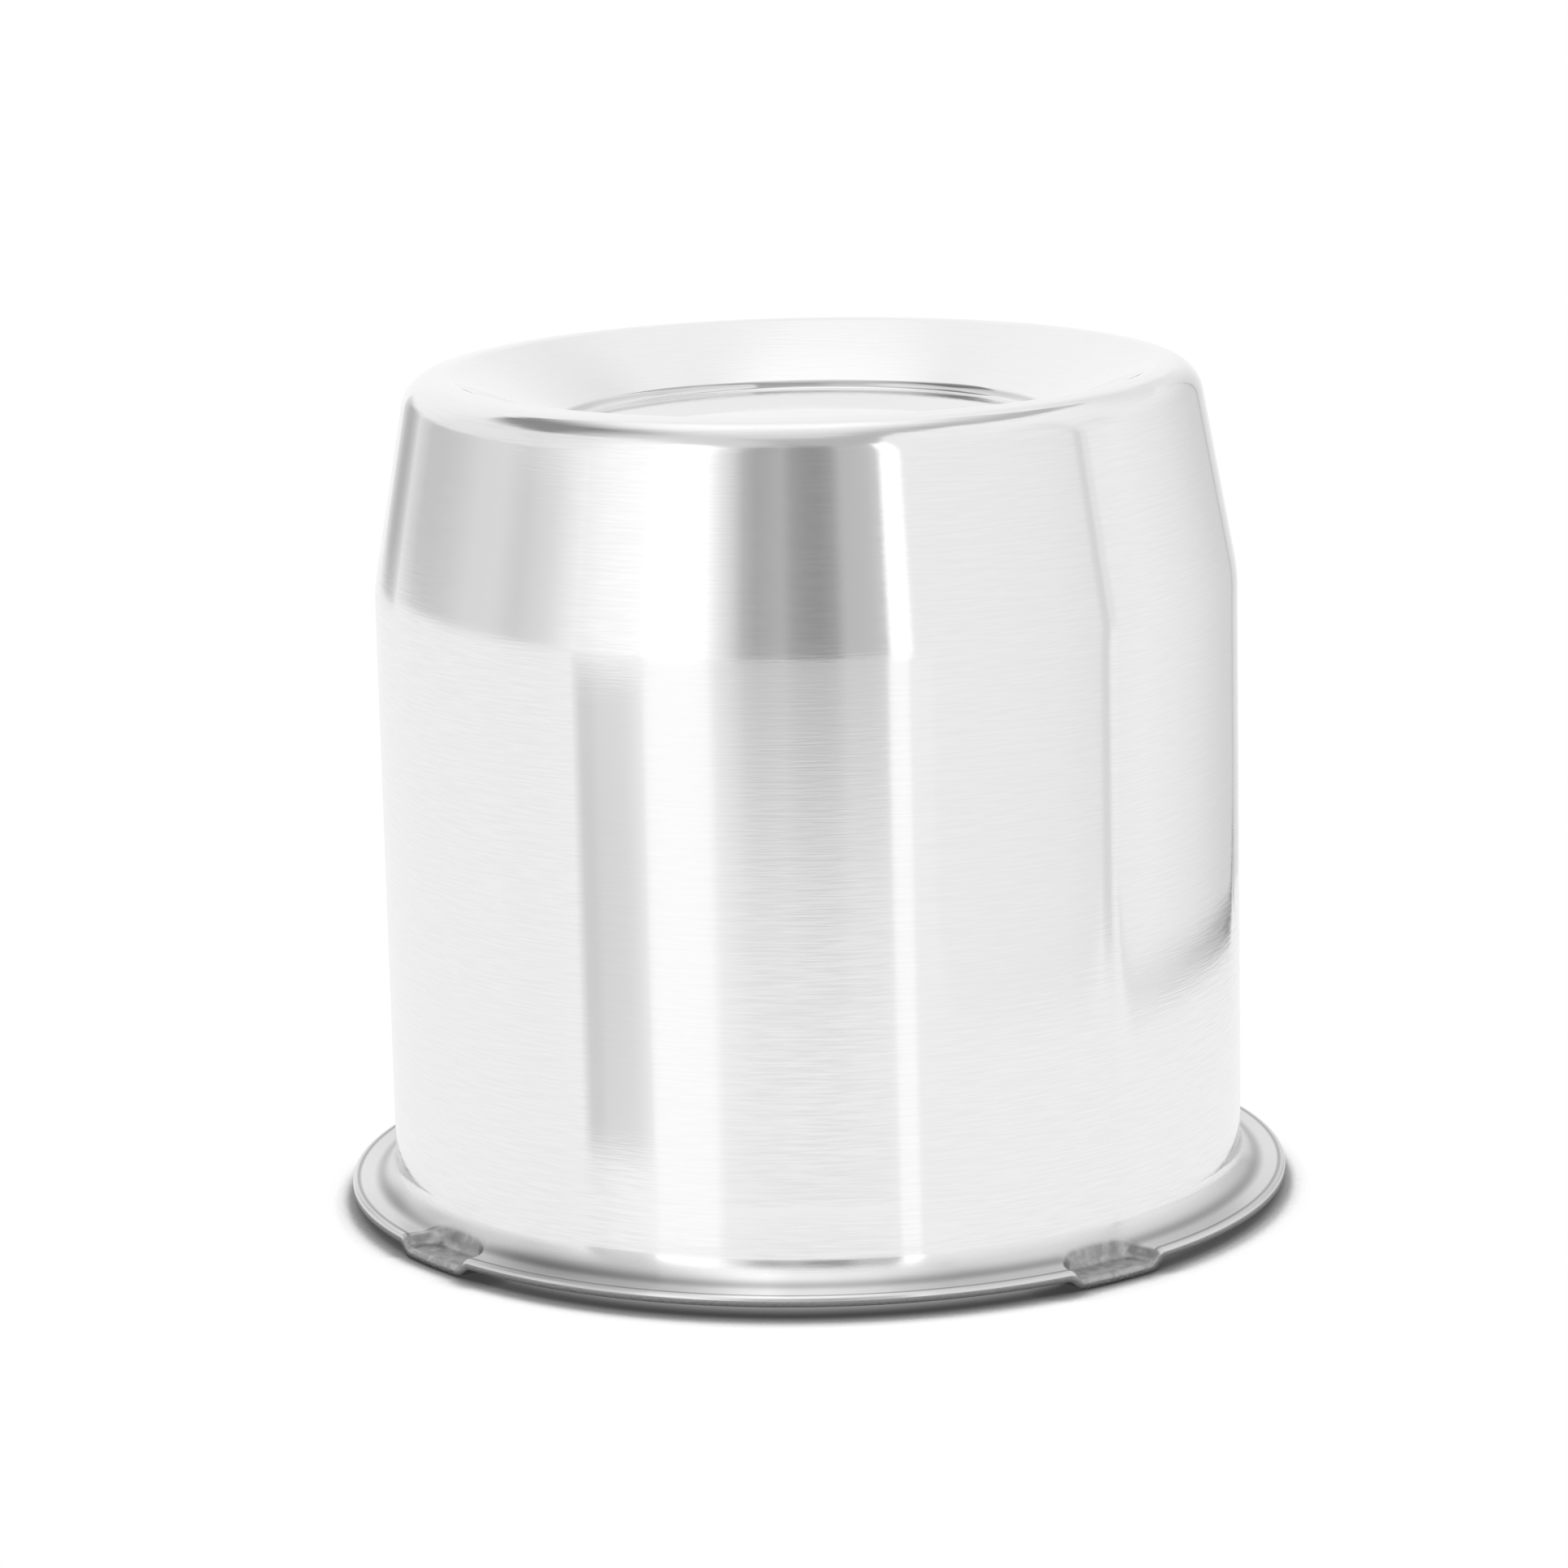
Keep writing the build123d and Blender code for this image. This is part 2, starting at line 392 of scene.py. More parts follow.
def buffedSteel():
    # stainless sheet, deep drawn and then buffed while it turns: a soft hoop grain on the barrel, which
    # draws lights out up and down the wall, and a mirror on the closed face
    steel = {
        "colour": "F5F5F5",
        "lineyColour": "F0F0F0",        # where it is all buffing lines
        "polish": 0.055,                # roughness of the polished metal between the buffing lines
        "haze": 0.22,                   # roughness of the lines themselves
        "leastHaze": 0.06,              # how much of the surface the lines take where they lie far apart
        "mostHaze": 0.5,                # and where they lie close
        "grainContrast": (0.36, 0.64),      # the grain's values for the least and the most of them
        "faceShare": 0.3,               # how much of the roughness is left on the closed face
        "faceEnds": (46.5, 49.5),       # mm from the axis: inside it is face, outside wall
        "flangeRoughness": 0.3,         # the flange, which the blank holder left satin
        # the flange is a darker tone than the barrel: painted shade, standing in for the darker light that
        # the flange mirrors
        "flangeShadedColour": "E4E4E4",
        "flangeEnds": (3.6, 5.8),       # mm of height: below it is flange, above wall
        "creaseRadius": 30.7,           # mm, the foot of the step, darkened there as painted shade
        "creaseWidth": 0.4,             # mm to either side
        "creaseColour": "D8D8D8",
        "gutterRadius": 55.75,          # mm, the hollow of the bend, darkened there as painted shade
        "gutterWidth": 1.25,
        "gutterColour": "B4B4B4",
        "lineRadius": 58.72,            # mm, a dark ring just inside the rim: painted shade standing in for a groove that the surface doesn't have
        "lineWidth": 0.42,
        "lineColour": "A4A4A4",
        "nubColours": ("A8A8A8", "C0C0C0"),     # scuffed by the punch, in blotches
        "nubEnds": (0.03, 0.3),         # shares of the nub's depth between which the scuffs come in
        "scuffsPerMetre": 700.0,
        "scuffContrast": (0.4, 0.6),
        "grainAcross": 0.24,            # mm from line to line, drawn coarser than it is so that it shows
        "grainLength": 5.0,             # mm
        "grainBump": 0.05,
        "grainDepth": 0.2,              # mm
    }
    material, tree = newMaterial("buffedStainlessSheet")
    where = addNode(tree, "ShaderNodeTexCoord").outputs["Object"]
    run = addNode(tree, "ShaderNodeAttribute", attribute_name="sectionRun").outputs["Fac"]
    axes = addNode(tree, "ShaderNodeSeparateXYZ", {0: where})
    # the grain is long along the hoops and fine across them, which is along the section
    long, fine = 1 / (steel["grainLength"] * mm), 1 / (steel["grainAcross"] * mm)
    x = addNode(tree, "ShaderNodeMath", {0: axes.outputs["X"], 1: long}, operation="MULTIPLY").outputs[0]
    y = addNode(tree, "ShaderNodeMath", {0: axes.outputs["Y"], 1: long}, operation="MULTIPLY").outputs[0]
    section = addNode(tree, "ShaderNodeMath", {0: run, 1: fine}, operation="MULTIPLY").outputs[0]
    lines = addNode(tree, "ShaderNodeCombineXYZ", {0: x, 1: y, 2: section}).outputs[0]
    grain = addNode(tree, "ShaderNodeTexNoise", {"Vector": lines, "Scale": 1.0, "Detail": 3.0}).outputs["Fac"]
    low, high = steel["grainContrast"]
    hazeShare = addNode(
        tree, "ShaderNodeMapRange",
        {"Value": grain, "From Min": low, "From Max": high,
         "To Min": steel["leastHaze"], "To Max": steel["mostHaze"]},
    ).outputs[0]
    level = addNode(tree, "ShaderNodeCombineXYZ", {0: axes.outputs["X"], 1: axes.outputs["Y"]}).outputs[0]
    radius = addNode(tree, "ShaderNodeVectorMath", {0: level}, operation="LENGTH").outputs["Value"]
    low, high = (end * mm for end in steel["faceEnds"])
    roughShare = addNode(
        tree, "ShaderNodeMapRange",
        {"Value": radius, "From Min": low, "From Max": high, "To Min": steel["faceShare"], "To Max": 1.0},
        interpolation_type="SMOOTHSTEP",
    ).outputs[0]
    low, high = (end * mm for end in steel["flangeEnds"])
    onFlange = addNode(
        tree, "ShaderNodeMapRange",
        {"Value": axes.outputs["Z"], "From Min": low, "From Max": high, "To Min": 1.0, "To Max": 0.0},
        interpolation_type="SMOOTHSTEP",
    ).outputs[0]
    colour = addNode(
        tree, "ShaderNodeMix",
        {"Factor": hazeShare, "A": linearColour(steel["colour"]), "B": linearColour(steel["lineyColour"])},
        data_type="RGBA",
    ).outputs["Result"]
    # painted shade: the flange takes its darker colour here
    colour = addNode(
        tree, "ShaderNodeMix", {"Factor": onFlange, "A": colour, "B": linearColour(steel["flangeShadedColour"])},
        data_type="RGBA",
    ).outputs["Result"]
    # painted shade: dark rings at the step's foot, in the hollow of the flange's bend and just inside the rim
    for ring in ("crease", "gutter", "line"):
        middle, width = steel[ring + "Radius"] * mm, steel[ring + "Width"] * mm
        offset = addNode(tree, "ShaderNodeMath", {0: radius, 1: middle}, operation="SUBTRACT").outputs[0]
        offset = addNode(tree, "ShaderNodeMath", {0: offset}, operation="ABSOLUTE").outputs[0]
        share = addNode(
            tree, "ShaderNodeMapRange",
            {"Value": offset, "From Min": 0.0, "From Max": width, "To Min": 1.0, "To Max": 0.0},
            interpolation_type="SMOOTHSTEP",
        ).outputs[0]
        colour = addNode(
            tree, "ShaderNodeMix", {"Factor": share, "A": colour, "B": linearColour(steel[ring + "Colour"])},
            data_type="RGBA",
        ).outputs["Result"]
    scuffs = addNode(
        tree, "ShaderNodeTexNoise", {"Vector": where, "Scale": steel["scuffsPerMetre"], "Detail": 2.0}
    ).outputs["Fac"]
    low, high = steel["scuffContrast"]
    blotches = addNode(tree, "ShaderNodeMapRange", {"Value": scuffs, "From Min": low, "From Max": high})
    dull, bright = [linearColour(tone) for tone in steel["nubColours"]]
    nubColour = addNode(
        tree, "ShaderNodeMix", {"Factor": blotches.outputs[0], "A": dull, "B": bright}, data_type="RGBA"
    ).outputs["Result"]
    pressed = addNode(tree, "ShaderNodeAttribute", attribute_name="pressed").outputs["Fac"]
    low, high = steel["nubEnds"]
    pressed = addNode(
        tree, "ShaderNodeMapRange", {"Value": pressed, "From Min": low, "From Max": high},
        interpolation_type="SMOOTHSTEP",
    ).outputs[0]
    colour = addNode(
        tree, "ShaderNodeMix", {"Factor": pressed, "A": colour, "B": nubColour}, data_type="RGBA"
    ).outputs["Result"]
    bump = addNode(
        tree, "ShaderNodeBump",
        {"Strength": steel["grainBump"], "Distance": steel["grainDepth"] * mm, "Height": grain},
    ).outputs[0]
    tangent = addNode(tree, "ShaderNodeTangent", direction_type="RADIAL", axis="Z").outputs[0]
    lobes = []
    for lobe in ("polish", "haze"):
        buffed = addNode(tree, "ShaderNodeMath", {0: roughShare, 1: steel[lobe]}, operation="MULTIPLY")
        roughness = addNode(
            tree, "ShaderNodeMix",
            {"Factor": onFlange, "A": buffed.outputs[0], "B": steel["flangeRoughness"]},
            data_type="FLOAT",
        ).outputs["Result"]
        shader = addNode(
            tree, "ShaderNodeBsdfPrincipled",
            {"Base Color": colour, "Metallic": 1.0, "Roughness": roughness, "Normal": bump,
             "Anisotropic": 1.0, "Anisotropic Rotation": 0.25, "Tangent": tangent},
        )
        lobes.append(shader.outputs[0])
    both = addNode(tree, "ShaderNodeMixShader", {0: hazeShare, 1: lobes[0], 2: lobes[1]}).outputs[0]
    addNode(tree, "ShaderNodeOutputMaterial", {"Surface": both})
    return material


def shearedSteel():
    # the cut face of the flange: smooth where the shear went in, and below that torn grain that catches the
    # light in specks; darker towards the bottom, partly the torn grain's own tone and partly painted shade
    # from the shadow under the flange
    steel = {
        "shornColour": "A8A8A8",
        # the bottom of the cut face: the torn grain's own darker tone, darkened further as painted shade
        "tornAndShadedColour": "606060",
        "roughness": 0.45,
        "specksPerMetre": 2500.0,
        "speckBump": 0.5,
        "speckDepth": 0.2,              # mm
    }
    material, tree = newMaterial("shearedSteelEdge")
    where = addNode(tree, "ShaderNodeTexCoord").outputs["Object"]
    specks = addNode(
        tree, "ShaderNodeTexNoise", {"Vector": where, "Scale": steel["specksPerMetre"], "Detail": 4.0}
    ).outputs["Fac"]
    bump = addNode(
        tree, "ShaderNodeBump",
        {"Strength": steel["speckBump"], "Distance": steel["speckDepth"] * mm, "Height": specks},
    ).outputs[0]
    tornAndShaded = addNode(tree, "ShaderNodeAttribute", attribute_name="tornAndShaded").outputs["Fac"]
    colour = addNode(
        tree, "ShaderNodeMix",
        {"Factor": tornAndShaded, "A": linearColour(steel["shornColour"]), "B": linearColour(steel["tornAndShadedColour"])},
        data_type="RGBA",
    ).outputs["Result"]
    shader = addNode(
        tree, "ShaderNodeBsdfPrincipled",
        {"Base Color": colour, "Metallic": 1.0, "Roughness": steel["roughness"], "Normal": bump},
    )
    addNode(tree, "ShaderNodeOutputMaterial", {"Surface": shader.outputs[0]})
    return material


def drawnSteel():
    # the inside, as it left the drawing die: dull, with long draw marks up the wall
    steel = {
        "colour": "D2D3D3",
        "roughness": 0.36,
        "marksPerMetre": (700.0, 700.0, 25.0),      # close together round the wall, and long up it
        "markBump": 0.2,
        "markDepth": 0.2,               # mm
    }
    material, tree = newMaterial("drawnSteelInside")
    where = addNode(tree, "ShaderNodeTexCoord").outputs["Object"]
    drawn = addNode(tree, "ShaderNodeMapping", {"Vector": where, "Scale": steel["marksPerMetre"]}).outputs[0]
    marks = addNode(tree, "ShaderNodeTexNoise", {"Vector": drawn, "Scale": 1.0, "Detail": 4.0}).outputs["Fac"]
    bump = addNode(
        tree, "ShaderNodeBump",
        {"Strength": steel["markBump"], "Distance": steel["markDepth"] * mm, "Height": marks},
    ).outputs[0]
    shader = addNode(
        tree, "ShaderNodeBsdfPrincipled",
        {"Base Color": linearColour(steel["colour"]), "Metallic": 1.0,
         "Roughness": steel["roughness"], "Normal": bump},
    )
    addNode(tree, "ShaderNodeOutputMaterial", {"Surface": shader.outputs[0]})
    return material


def placeCap():
    mesh = capMesh()
    for material in (buffedSteel(), shearedSteel(), drawnSteel()):
        mesh.materials.append(material)
    piece = bpy.data.objects.new("cap_sheet", mesh)
    bpy.context.scene.collection.objects.link(piece)
    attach(piece, "root")
    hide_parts("cap_shell")
    triangles = sum(len(face.vertices) - 2 for face in mesh.polygons)
    print("cap surface made,", len(mesh.vertices), "points and", triangles, "triangles")


placeCap()

# the studio: metres and degrees; a bearing is counted from the camera's side, positive to its right
studio = {
    "cameraBack": 0.68495,
    "cameraHeight": 0.19952,
    "aimHeight": 0.0515,
    "lens": 127.5,
    "roll": 1.29,
    "floorReach": 4.0,
    "shadowReach": 0.005,               # how far the floor looks round for what stands on it
    "shadowTowards": (0.0, 0.82, 0.57),     # and where it looks: most of the light comes from behind
    "shadowLevels": (0.05, 0.27, 1.0),      # under the flange, near its edge, and out in the open
    "shadowSteps": (0.42, 0.74, 0.9),       # how open the floor is where it has each of those levels
    "floorInMetal": 0.94,               # the floor's brightness as the metal mirrors it
    "mattBoard": 0.9,                   # and its colour, for the light that it gives back
}

# the room that the metal mirrors: a white tent, whose walls carry screens and lamps, in order from left to
# right and on behind; bearings are from the axis, and 1 is as bright as the background
tent = {
    "radius": 1.2,
    "centreHeight": 0.1,
    "columns": 720,
    "rows": 96,
    "topElevation": 89.5,
    "lowestRoof": 5,                    # degrees above the horizon: flatter directions miss the roof's map
}
tentWalls = {
    "leftScreen": {"bearings": (-134, -42.9), "glow": (0.93, 0.87, 0.86, 0.86, 0.85, 0.85, 0.91, 1.06, 1.12)},
    "leftLamp": {"bearings": (-42.9, -26.2), "glow": (1.15, 1.35, 1.4, 1.4, 1.4, 1.4, 1.35, 1.15)},
    "frontGap": {
        "bearings": (-26.2, 20.2),
        "glow": (1.15, 0.9, 0.72, 0.48, 0.4, 0.43, 0.46, 0.35, 0.31, 0.3, 0.35, 0.52, 0.53, 0.55, 0.62),
    },
    "rightLamp": {"bearings": (20.2, 26.8), "glow": (0.75, 1.2, 1.4, 1.4, 1.4, 1.25, 1.0)},
    "rightScreen": {"bearings": (26.8, 81), "glow": (0.912, 0.91, 0.905, 0.85)},
    "rightSeam": {"bearings": (81, 90), "glow": (0.83, 0.83, 0.9)},
    "sideScreen": {"bearings": (90, 146), "glow": (0.92, 0.92, 0.9, 0.83)},
    "backScreen": {"bearings": (146, 226), "glow": (0.83, 0.82, 0.96, 0.98, 0.97, 0.96, 0.93)},
}

# the tent's roof, as a map of it: across and back from over the cap, in heights of the roof above the cap;
# it is a dim slot with a strip light in it, and all round the slot it is as bright as the walls
roof = {
    "slotFades": (33, 43),              # degrees above the horizon between which the slot begins
    "slotRight": (0.56, 0.35, 0.34, 0.5, 0.62),     # where its right edge runs, from the front to the back
    "slotRightAt": (-1.3, -0.6, -0.35, 0.0, 0.25),  # and how far back each of those is
    "slotLeft": (0.62, 1.25),
    "slotLeftAt": (-0.5, 0.1),
    "slotBack": (0.84, 0.62, 0.66, 1.0),            # where its back edge runs, from left to right
    "slotBackAt": (-0.4, 0.1, 0.35, 0.65),
    "rightEdge": (-0.03, 0.03),         # from inside to outside: the right edge is sharp, the left one soft
    "leftEdge": (-0.15, 0.25),
    "backEdge": (-0.06, 0.08),
    "dim": 0.5,                         # inside the slot
    "leftDim": 0.7,                     # and in its left part
    "leftDimFrom": (0.05, 0.35),        # how far to the left it takes over
    "darkest": 0.27,                    # in the slot's left part, behind the cap
    "darkestFrom": (0.15, 0.62),        # how far to the left it takes over
    "darkestBack": (-0.3, 0.15),        # and how far back
    "lightAcross": -0.07,
    "lightFrom": -0.35,                 # the strip light begins here, faint and narrow, and runs backwards
    "lightCore": 0.12,                  # to either side of its line it is full as far as this
    "lightReach": (0.34, 0.62),         # and gone from here on, in front and at the back
    "lightReachAt": (-0.3, 0.3),
    "lightGlow": (0.55, 0.74, 0.88, 1.11, 1.1, 1.02),   # from the front to the back
    "lightGlowAt": (-0.7, -0.35, 0.0, 0.3, 0.5, 0.8),
    "beside": 0.95,                     # the roof to either side of the slot
    "besideFades": (35, 50),            # degrees above the horizon between which the walls give way to it
}

# cards that stand on the floor round the cap, each part of a cylinder, with its glow from left to right
standingCards = {
    "rightPanel": {
        "bearings": (27.6, 71.2), "radius": 0.182, "top": 0.17, "corner": 0.022,
        "glow": (0.915, 0.905, 0.895, 0.88, 0.84), "fadeFrom": 0.125,
        "foot": 0.003, "footGlow": (0.9, 0.86, 0.84, 0.82, 0.78),
    },
    "rightGap": {
        "bearings": (71.2, 74.6), "radius": 0.184, "top": 0.17, "bottom": 0.004,
        "glow": (0.8, 0.72, 0.7, 0.86), "fadeFrom": 0.125,
    },
    "sidePanel": {
        "bearings": (73.6, 135.2), "radius": 0.15, "top": 0.17, "bottom": 0.002, "corner": 0.016,
        "glow": (0.91, 0.92, 0.885, 0.84, 0.77, 0.705, 0.67), "fadeFrom": 0.115,
        "foot": 0.007, "footGlow": (0.8, 0.75, 0.68, 0.6, 0.48, 0.34, 0.2),
    },
    "sideSeam": {
        "bearings": (135.2, 137.2), "radius": 0.15, "top": 0.17, "bottom": 0.006,
        "glow": (0.6, 0.48, 0.62), "fadeFrom": 0.115,
    },
    "farPanel": {
        "bearings": (137.2, 152), "radius": 0.15, "top": 0.17, "bottom": 0.009,
        "glow": (0.7, 0.76, 0.84, 0.92), "fadeFrom": 0.115,
    },
    "leftFar": {
        "bearings": (-151.7, -130.7), "radius": 0.3, "top": 0.15, "bottom": 0.04, "rise": 0.02,
        "glow": (0.79, 0.64, 0.49, 0.46, 0.56, 0.78), "fadeFrom": 0.12,
    },
    "leftNear": {
        "bearings": (-130.7, -57), "radius": 0.3, "top": 0.15, "bottom": 0.05, "rise": 0.03,
        "glow": (0.78, 0.58, 0.58, 0.63, 0.72, 0.74, 0.65, 0.76, 1.0), "fadeFrom": 0.128,
    },
    "leftLow": {
        "bearings": (-49, -33), "radius": 0.11, "top": 0.064,
        "glow": (0.9, 0.66, 0.66, 0.72, 0.73, 0.74, 0.76, 0.82, 0.92),
    },
}

# a light held low over the flange in front, which only shows from below, in the flange and its bend
flangeLight = {
    "bearings": (-24, 20),
    "radii": (0.0542, 0.064),
    "height": 0.012,
    "glow": (0.8, 0.9, 1.15, 1.5, 1.7, 1.5, 1.5, 1.4, 1.3, 1.05, 0.9, 0.8),
}

# the floor in front falls off towards the camera, and under each lamp it is lit; it shows in the wall
floorFade = {
    "bearings": (-64, 26.8),
    "reach": (0.02, 0.95),              # distances out from the wall
    "near": 0.93,
    "far": 0.53,
    "fades": (0.1, 0.42),               # distances between which it falls off
    "open": 0.95,                       # where nothing dims it
    "lit": 1.06,
    "litFrom": (0.95, 1.25),            # brightnesses of the wall above between which the floor gets lit
}


def placeCamera():
    # looks from its height at the axis, aimHeight up, and is rolled about the line that it looks along
    data = bpy.data.cameras.new("camera")
    camera = bpy.data.objects.new("camera", data)
    bpy.context.scene.collection.objects.link(camera)
    data.lens = studio["lens"]
    data.sensor_width = 36.0
    data.clip_start = 0.05
    camera.location = (0, -studio["cameraBack"], studio["cameraHeight"])
    down = math.atan2(studio["cameraHeight"] - studio["aimHeight"], studio["cameraBack"])
    camera.rotation_euler = (math.pi / 2 - down, math.radians(studio["roll"]), 0)
    camera.rotation_mode = "XYZ"
    bpy.context.scene.camera = camera


def lightWorld():
    world = bpy.data.worlds.new("whiteTent")
    bpy.context.scene.world = world
    world.use_nodes = True
    tree = world.node_tree
    tree.nodes.clear()
    shade = addNode(tree, "ShaderNodeBackground", {"Color": (1, 1, 1, 1), "Strength": 1.0})
    addNode(tree, "ShaderNodeOutputWorld", {"Surface": shade.outputs[0]})


def whiteFloor():
    # matt white board: seen straight or in the metal it is as bright as the background, apart from the
    # cap's own shadow, and from below it isn't there, so that the open end can be looked into
    material, tree = newMaterial("whiteFloor")
    towards = addNode(tree, "ShaderNodeCombineXYZ", dict(enumerate(studio["shadowTowards"]))).outputs[0]
    openness = addNode(
        tree, "ShaderNodeAmbientOcclusion", {"Distance": studio["shadowReach"], "Normal": towards}, samples=16
    ).outputs["AO"]
    deepest, edge, away = studio["shadowLevels"]
    atDeepest, atEdge, atAway = studio["shadowSteps"]
    core = addNode(
        tree, "ShaderNodeMapRange",
        {"Value": openness, "From Min": atDeepest, "From Max": atEdge, "To Min": deepest, "To Max": edge},
        interpolation_type="SMOOTHSTEP",
    ).outputs[0]
    rest = addNode(
        tree, "ShaderNodeMapRange",
        {"Value": openness, "From Min": atEdge, "From Max": atAway, "To Min": 0.0, "To Max": away - edge},
        interpolation_type="SMOOTHSTEP",
    ).outputs[0]
    shade = addNode(tree, "ShaderNodeMath", {0: core, 1: rest}, operation="ADD").outputs[0]
    path = addNode(tree, "ShaderNodeLightPath").outputs
    seen = path["Is Camera Ray"]
    for other in ("Is Glossy Ray", "Is Transmission Ray"):
        seen = addNode(tree, "ShaderNodeMath", {0: seen, 1: path[other]}, operation="MAXIMUM").outputs[0]
    inMetal = addNode(
        tree, "ShaderNodeMapRange",
        {"Value": path["Is Glossy Ray"], "To Min": 1.0, "To Max": studio["floorInMetal"]},
    ).outputs[0]
    level = addNode(tree, "ShaderNodeMath", {0: shade, 1: inMetal}, operation="MULTIPLY").outputs[0]
    glow = addNode(tree, "ShaderNodeEmission", {"Color": (1, 1, 1, 1), "Strength": level}).outputs[0]
    matt = addNode(tree, "ShaderNodeBsdfDiffuse", {"Color": (*[studio["mattBoard"]] * 3, 1)}).outputs[0]
    face = addNode(tree, "ShaderNodeMixShader", {0: seen, 1: matt, 2: glow}).outputs[0]
    clear = addNode(tree, "ShaderNodeBsdfTransparent").outputs[0]
    below = addNode(tree, "ShaderNodeNewGeometry").outputs["Backfacing"]
    board = addNode(tree, "ShaderNodeMixShader", {0: below, 1: face, 2: clear}).outputs[0]
    addNode(tree, "ShaderNodeOutputMaterial", {"Surface": board})
    return material


def addStagePiece(name, points, faces, material):
    mesh = bpy.data.meshes.new(name)
    mesh.from_pydata(points.reshape(-1, 3).tolist(), [], faces)
    mesh.materials.append(material)
    piece = bpy.data.objects.new(name, mesh)
    bpy.context.scene.collection.objects.link(piece)
    return piece


def showOnlyInMetal(piece):
    piece.visible_camera = False
    piece.visible_diffuse = False
    piece.visible_transmission = False
    piece.visible_shadow = False


def cardGlow(name, oneSided):
    # white card, lit from behind and as bright as its attribute says; a one-sided one is clear from its back
    material, tree = newMaterial(name)
    glow = addNode(tree, "ShaderNodeAttribute", attribute_name="glow").outputs["Fac"]
    light = addNode(tree, "ShaderNodeEmission", {"Color": (1, 1, 1, 1), "Strength": glow}).outputs[0]
    if oneSided:
        back = addNode(tree, "ShaderNodeNewGeometry").outputs["Backfacing"]
        clear = addNode(tree, "ShaderNodeBsdfTransparent").outputs[0]
        light = addNode(tree, "ShaderNodeMixShader", {0: back, 1: light, 2: clear}).outputs[0]
    addNode(tree, "ShaderNodeOutputMaterial", {"Surface": light})
    return material


def addCard(name, points, glow, material):
    # a grid of points, each with its glow
    index = np.arange(glow.size).reshape(glow.shape)
    faces = np.stack([index[:-1, :-1], index[:-1, 1:], index[1:, 1:], index[1:, :-1]], axis=-1).reshape(-1, 4)
    piece = addStagePiece(name, points, faces.tolist(), material)
    values = glow.ravel().astype(np.float32)
    piece.data.attributes.new("glow", "FLOAT", "POINT").data.foreach_set("value", values)
    showOnlyInMetal(piece)


def levelsAcross(share, levels):
    # evenly spaced levels from 0 to 1, with a straight line from each to the next
    return np.interp(share, np.linspace(0, 1, len(levels)), levels)


def softStep(value, start, end):
    # 0 up to the start and 1 from the end on, and 3 s^2 - 2 s^3 of the share s between them
    share = np.clip((value - start) / (end - start), 0, 1)
    return share * share * (3 - 2 * share)


def wallGlow(bearing):
    # each bearing has the level of the card that it falls on, and 1 between the cards
    level = np.ones_like(bearing)
    for card in tentWalls.values():
        left, right = card["bearings"]
        share = (bearing - left) % 360 / (right - left)
        level = np.where(share < 1, levelsAcross(share, card["glow"]), level)
    return level


def roofGlow(x, y):
    # inside the slot it is dim, and darker to the left and behind; round the line that the strip light lies
    # on, the dimness gives way to light with distance from the line
    dim = roof["dim"] + (roof["leftDim"] - roof["dim"]) * softStep(-x, *roof["leftDimFrom"])
    farLeft = softStep(-x, *roof["darkestFrom"]) * softStep(y, *roof["darkestBack"])
    dim = dim + (roof["darkest"] - dim) * farLeft
    fromLight = np.hypot(x - roof["lightAcross"], np.minimum(y - roof["lightFrom"], 0))
    light = 1 - softStep(fromLight, roof["lightCore"], np.interp(y, roof["lightReachAt"], roof["lightReach"]))
    bright = np.interp(y, roof["lightGlowAt"], roof["lightGlow"])
    return dim + (bright - dim) * light


def insideSlot(x, y):
    # 1 inside the slot in the roof and 0 round it: each edge lets go with a point's distance past it
    pastRight = x - np.interp(y, roof["slotRightAt"], roof["slotRight"])
    pastLeft = -x - np.interp(y, roof["slotLeftAt"], roof["slotLeft"])
    pastBack = y - np.interp(x, roof["slotBackAt"], roof["slotBack"])
    across = (1 - softStep(pastRight, *roof["rightEdge"])) * (1 - softStep(pastLeft, *roof["leftEdge"]))
    return across * (1 - softStep(pastBack, *roof["backEdge"]))


def pitchTent(material):
    # a half ball over the floor: a point at bearing b and elevation e from a centre just under the cap's top
    lowest = -math.degrees(math.asin(tent["centreHeight"] / tent["radius"]))
    bearing = np.linspace(-180, 180, tent["columns"] + 1)[None, :]
    elevation = np.linspace(lowest, tent["topElevation"], tent["rows"] + 1)[:, None]
    b, e = np.radians(bearing), np.radians(elevation)
    direction = np.broadcast_arrays(np.cos(e) * np.sin(b), -np.cos(e) * np.cos(b), np.sin(e))
    points = tent["radius"] * np.stack(direction, axis=-1) + [0, 0, tent["centreHeight"]]
    # where the direction meets the roof's map
    reach = 1 / np.tan(np.maximum(e, math.radians(tent["lowestRoof"])))
    x, y = reach * np.sin(b), -reach * np.cos(b)
    slot = insideSlot(x, y) * softStep(elevation, *roof["slotFades"])
    walls = wallGlow(bearing * np.ones_like(slot))
    walls = walls + (roof["beside"] - walls) * softStep(elevation, *roof["besideFades"])
    addCard("tent", points, walls + (roofGlow(x, y) - walls) * slot, material)


